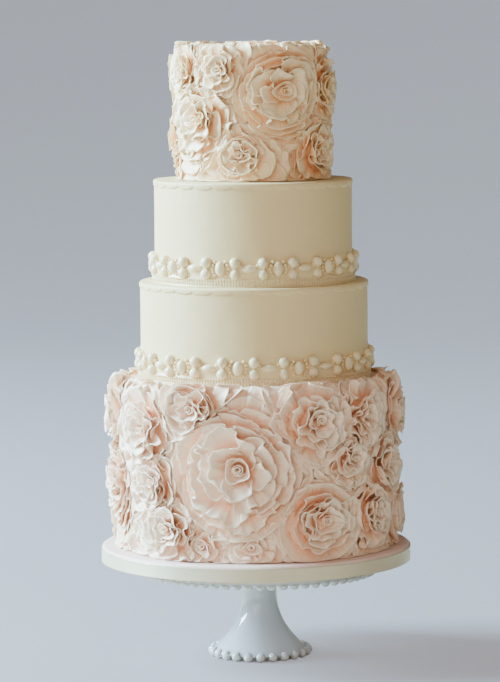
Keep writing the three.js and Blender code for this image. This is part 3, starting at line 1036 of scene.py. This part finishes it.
def paint_shade_and_highlight(material, shader, recess, edge):
    """Paints shade into the colour where the lift is low, in the recesses between petals, and a
    paler highlight where it is high, at their free edges.
    """
    tree = material.node_tree
    patches = shader.inputs["Base Color"].links[0].from_socket
    lift = tree.nodes.new("ShaderNodeAttribute")
    lift.attribute_name = "lift"
    result = patches
    for colour, stops in ((recess, ((0.1, 1), (0.62, 0))), (edge, ((0.62, 0), (0.98, 1)))):
        ramp = tree.nodes.new("ShaderNodeValToRGB")
        ramp.color_ramp.interpolation = "EASE"
        for element, (place, level) in zip(ramp.color_ramp.elements, stops):
            element.position = place
            element.color = (level, level, level, 1)
        tree.links.new(lift.outputs["Fac"], ramp.inputs["Fac"])
        mix = tree.nodes.new("ShaderNodeMix")
        mix.data_type = "RGBA"
        mix.inputs["B"].default_value = (*colour, 1)
        tree.links.new(ramp.outputs["Color"], mix.inputs["Factor"])
        tree.links.new(result, mix.inputs["A"])
        result = mix.outputs["Result"]
    tree.links.new(result, shader.inputs["Base Color"])


def add_pleats(material, shader):
    """Fine pleats across each strip of petals, which fade out towards its free edge."""
    tree = material.node_tree
    along = tree.nodes.new("ShaderNodeAttribute")
    along.attribute_name = "along"
    pleats = tree.nodes.new("ShaderNodeTexNoise")
    pleats.noise_dimensions = "1D"
    pleats.inputs["Scale"].default_value = 1 / pleat_width
    pleats.inputs["Detail"].default_value = 1
    tree.links.new(along.outputs["Fac"], pleats.inputs["W"])
    lift = tree.nodes.new("ShaderNodeAttribute")
    lift.attribute_name = "lift"
    fade = tree.nodes.new("ShaderNodeMapRange")
    fade.interpolation_type = "SMOOTHSTEP"
    fade.inputs["From Min"].default_value = 0.3
    fade.inputs["From Max"].default_value = 1.0
    fade.inputs["To Min"].default_value = 1.0
    fade.inputs["To Max"].default_value = 0.15
    tree.links.new(lift.outputs["Fac"], fade.inputs["Value"])
    height = tree.nodes.new("ShaderNodeMath")
    height.operation = "MULTIPLY"
    tree.links.new(pleats.outputs["Fac"], height.inputs[0])
    tree.links.new(fade.outputs["Result"], height.inputs[1])
    bump = tree.nodes.new("ShaderNodeBump")
    bump.inputs["Strength"].default_value = 1
    bump.inputs["Distance"].default_value = pleat_depth
    tree.links.new(height.outputs[0], bump.inputs["Height"])
    tree.links.new(shader.inputs["Normal"].links[0].from_socket, bump.inputs["Normal"])
    tree.links.new(bump.outputs["Normal"], shader.inputs["Normal"])


def tint_by_height(material, shader, low, high, tint):
    """Tints the colour, more and more between two heights and fully above them."""
    tree = material.node_tree
    colour = shader.inputs["Base Color"].links[0].from_socket
    place = tree.nodes.new("ShaderNodeTexCoord")
    parts = tree.nodes.new("ShaderNodeSeparateXYZ")
    tree.links.new(place.outputs["Object"], parts.inputs[0])
    share = tree.nodes.new("ShaderNodeMapRange")
    share.inputs["From Min"].default_value = low
    share.inputs["From Max"].default_value = high
    tree.links.new(parts.outputs["Z"], share.inputs["Value"])
    mix = tree.nodes.new("ShaderNodeMix")
    mix.data_type = "RGBA"
    mix.blend_type = "MULTIPLY"
    mix.inputs["B"].default_value = (*tint, 1)
    tree.links.new(share.outputs["Result"], mix.inputs["Factor"])
    tree.links.new(colour, mix.inputs["A"])
    tree.links.new(mix.outputs["Result"], shader.inputs["Base Color"])


# The roses get a deep peach as painted shade in their recesses and a paler peach as a painted highlight
# on their free edges.
paint_shade_and_highlight(ruffle_icing, ruffle_shader, recess=(1.0, 0.52, 0.33), edge=(1.0, 0.78, 0.65))
add_pleats(ruffle_icing, ruffle_shader)
tint_by_height(ruffle_icing, ruffle_shader, low=0.30, high=0.46, tint=(1.0, 0.98, 0.80))

core_swell = 0.5 * mm
core_swell_period = 47 * mm
core_drop = 0.4 * mm
# The core's low lift gives it the painted shade of the recesses where it shows between the roses.
core_lift = 0.3


def make_ruffled_tier(tier):
    """The iced tier itself, with a softly uneven top, and all its roses."""
    radius, top, shoulder = tier["radius"] * mm, tier["top"] * mm, tier["shoulder"] * mm
    profile = [(0, tier["base"] * mm), (radius, tier["base"] * mm)]
    profile += rounded_edge(radius, top, shoulder, edge_steps) + [(0, top)]
    points, faces = turned(profile, turned_segments)
    heights = swollen(points, core_swell, core_swell_period)[:, 2] - core_drop
    points[:, 2] = np.clip(heights, tier["base"] * mm, top)
    core = mesh_object(f"{tier['name']}_iced_core", points, faces, ruffle_icing)
    set_point_values(core, "lift", np.full(len(core.data.vertices), core_lift))
    fit_out(core, "ruffle_icing", f"{tier['name']}_tier")
    for index, rose in enumerate(tier["roses"]):
        make_rose(tier, index, rose, ruffle_icing)


make_ruffled_tier(bottom_tier)

# Plain tiers: iced smooth by hand in ivory. A thin cap of icing with a scalloped edge laps over
# the top. Each is a single turned shell whose side follows the scallops.
cap_thickness = 0.9 * mm
cap_drop = 3.3 * mm
scallop_depth = 3.0 * mm
cap_edge = 2.1 * mm
columns_per_scallop = 24
foot_edge = 0.5 * mm
below_cap = 12 * mm
side_rows = 12
plain_swell = 0.22 * mm
plain_swell_period = 83 * mm
# The cap's edge, as steps in millimetres below its foot and in shares of its thickness.
cap_lip = ((1.6, 0), (0.45, 0.02), (0.12, 0.45), (-0.15, 0.85), (-0.6, 1.0))

plain_icing, plain_shader = surfaced_material(
    "plain_icing",
    colours=((0.79, 0.60, 0.335), (0.83, 0.65, 0.385)),
    patch=55 * mm,
    dent=18 * mm,
    grain=0.8 * mm,
    grain_share=0.06,
    relief=0.5 * mm,
    roughness=0.5,
)
let_light_in(plain_shader, weight=0.25, depth=3 * mm, reach=(1.0, 0.7, 0.45))


def make_plain_tier(name, radius, scallops):
    """A plain tier between the heights of its solid, with a scalloped cap."""
    chance = np.random.default_rng(scallops)
    low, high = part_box(f"{name}_plain_tier")
    bottom, top = low[2], high[2]
    columns = scallops * columns_per_scallop
    angles = np.linspace(0, 2 * math.pi, columns, endpoint=False)[:, None]
    phase = angles * scallops / (2 * math.pi)
    across_scallop = 2 * (phase % 1) - 1
    number = np.floor(phase).astype(int)
    own_depth = scallop_depth * chance.uniform(0.8, 1.0, scallops)[number]
    hang = own_depth * np.sqrt(np.clip(1 - across_scallop**2, 0, 1))
    cap_foot = top - cap_drop - hang
    rows = [(0, bottom), (radius - foot_edge, bottom), (radius, bottom + foot_edge)]
    for share in np.linspace(0.06, 0.94, side_rows):
        rows.append((radius, bottom + share * (top - bottom - below_cap)))
    for below, outside in cap_lip:
        rows.append((radius + outside * cap_thickness, cap_foot - below * mm))
    rows.append((radius + cap_thickness, top - cap_edge - 0.25 * mm))
    rows += rounded_edge(radius + cap_thickness, top, cap_edge, edge_steps)
    rows += [(radius * share, top) for share in (0.9, 0.75, 0.5, 0.25, 0)]
    radii = np.concatenate([np.broadcast_to(row[0], angles.shape) for row in rows], axis=1)
    heights = np.concatenate([np.broadcast_to(row[1], angles.shape) for row in rows], axis=1)
    points = np.stack([radii * np.sin(angles), -radii * np.cos(angles), heights], axis=-1)
    points = swollen(points.reshape(-1, 3), -plain_swell, plain_swell_period)
    points[:, 2] = np.clip(points[:, 2], bottom, top)
    faces = grid_faces(columns, len(rows), closed_rows=True)
    tier = mesh_object(f"{name}_iced_tier", points, faces, plain_icing)
    fit_out(tier, "plain_icing", f"{name}_plain_tier")


lower_tier_radius = 113.3 * mm
upper_tier_radius = 98.3 * mm
make_plain_tier("lower", lower_tier_radius, 34)
make_plain_tier("upper", upper_tier_radius, 30)

# Pearl borders: moulded in one strip of sugar paste with a pearl lustre, and wrapped round the
# foot of each plain tier. The strip has a lip, a row of ticks and a row of tiny beads under the
# large pearls and leaves. Its section is given in millimetres out from and up the tier.
# The strip's lift gives it some of the deep gold, as painted shade in the crevices between the pearls.
strip_lift = 0.53
strip_gap = 0.35 * mm
strip_section = [(0, 0.05), (3.0, 0.05), (3.2, 0.5), (3.0, 1.1), (1.9, 1.5), (1.7, 2.2), (1.7, 6.0)]
strip_section += [(1.9, 6.6), (1.7, 8.4), (1.2, 9.2), (1.0, 12), (1.1, 20), (0.8, 21.2), (0, 21.4)]
tick_spacing = 2.9 * mm
tick_rise = 3.6
row_rise = 7.3
# In millimetres, how far out from the strip's back a bead's middle lies, and its half sizes
# along, out from and up the tier.
tick = (1.7, (0.95, 0.9, 2.3))
row_bead = (2.2, (1.15, 1.05, 1.15))
oval_pearl = (2.0, (5.1, 4.5, 7.2))
leaf = (1.6, (8.8, 3.8, 3.9))
round_pearl = (1.8, (5.3, 4.8, 5.3))
small_bead = (1.5, (1.8, 1.8, 1.8))
# Small beads take a low lift and so mostly the deep gold, which is their own colour.
small_bead_paleness = 0.1
leaf_points = 0.8
# A place is a share of the way from one oval to the next, and a rise is from the ovals' middle.
pearl_middle = 18.3
pearl_rise = 5.6
pearl_places = (0.26, 0.74)
leaf_place = 0.5
beads_by_oval = ((0.095, 6.6), (0.128, 3.4), (0.14, 0), (0.128, -3.4), (0.095, -6.6))
beads_by_pearls = ((0.25, 0), (0.35, 3.4))

sugar_pearls, pearl_shader = surfaced_material(
    "sugar_pearls",
    colours=((0.83, 0.66, 0.39), (0.88, 0.72, 0.46)),
    patch=18 * mm,
    dent=5 * mm,
    grain=0.7 * mm,
    grain_share=0.10,
    relief=0.2 * mm,
    roughness=0.3,
)
let_light_in(pearl_shader, weight=0.2, depth=2 * mm, reach=(1.0, 0.7, 0.4))
add_coat(pearl_shader, weight=0.35, roughness=0.18)


def make_border(name, radius, repeats, first_oval):
    """The border round the foot of a plain tier: its strip, and Geometry Nodes rings of pearls."""
    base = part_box(f"{name}_pearl_border")[0][2]
    inside = radius + strip_gap
    profile = traced(inside, base, strip_section)
    points, _ = turned(profile, turned_segments)
    faces = grid_faces(turned_segments, len(profile), closed_rows=True, closed_columns=True)
    border = mesh_object(f"{name}_border", points, faces, sugar_pearls, merge=False)
    set_point_values(border, "lift", np.full(len(points), strip_lift))

    def ring(count, bead, up, first=0.0, **others):
        """The inputs of one ring of like beads. The first bead's place is in degrees."""
        out, size = bead
        scaled = tuple(mm * part for part in size)
        place = {"Ring Radius": inside + out * mm, "Height": base + up * mm}
        given = {"Beads": count, "Bead Size": scaled, "First Bead": math.radians(first), "Detail": 2}
        return {**given, **place, "Unevenness": 0.05, "Seed": int(count + up), **others}

    turn = 360 / repeats
    ticks = round(2 * math.pi * radius / tick_spacing)
    leaf_start = first_oval + leaf_place * turn
    rings = [
        ring(ticks, tick, tick_rise),
        ring(ticks, row_bead, row_rise),
        ring(repeats, oval_pearl, pearl_middle, first_oval, Detail=round_bead_detail),
        ring(repeats, leaf, pearl_middle, leaf_start, Detail=round_bead_detail, Pointed=leaf_points),
    ]
    rounds = {"Detail": round_bead_detail, "Unevenness": 0.04}
    for place in pearl_places:
        for side in (1, -1):
            up = pearl_middle + side * pearl_rise
            rings.append(ring(repeats, round_pearl, up, first_oval + place * turn, **rounds))
    for place, rise in beads_by_oval + beads_by_pearls:
        for side in (1, -1):
            up = pearl_middle + rise
            first = first_oval + side * place * turn
            rings.append(ring(repeats, small_bead, up, first, Paleness=small_bead_paleness))
    set_beads(border, rings)
    fit_out(border, "sugar_pearls", f"{name}_pearl_border")


# The deep gold is the small beads' own colour. It is also painted shade, on each bead's inner side and
# on the strip between the pearls. The paler colour is a painted highlight on the beads' outer sides.
paint_shade_and_highlight(sugar_pearls, pearl_shader, recess=(0.90, 0.58, 0.20), edge=(0.86, 0.72, 0.49))
make_border("lower", lower_tier_radius, 12, -8)
make_border("upper", upper_tier_radius, 11, -19)

# Top tier: the smallest, and made like the bottom tier. Its roses are smaller too, and their
# petals stand a little above its plain top.
top_tier = {
    "name": "top",
    "radius": 69.0,
    "base": 479.0,
    "top": 611.0,
    "shoulder": 5.0,
    "rise": 4.4,
    "relief": 1.0,
    "roses": [
        (23, 86, 42, "open"), (-46, 58, 30, "full"), (-10, 25, 18, "disc"), (-26, 108, 15, "full"),
        (-64, 106, 19, "full"), (60, 26, 22, "full"), (74, 88, 24, "full"), (120, 62, 34, "full"),
        (168, 96, 30, "half"), (164, 34, 28, "full"), (-146, 72, 34, "open"), (-104, 44, 26, "full"),
        (-106, 102, 24, "full"),
    ],
}
make_ruffled_tier(top_tier)
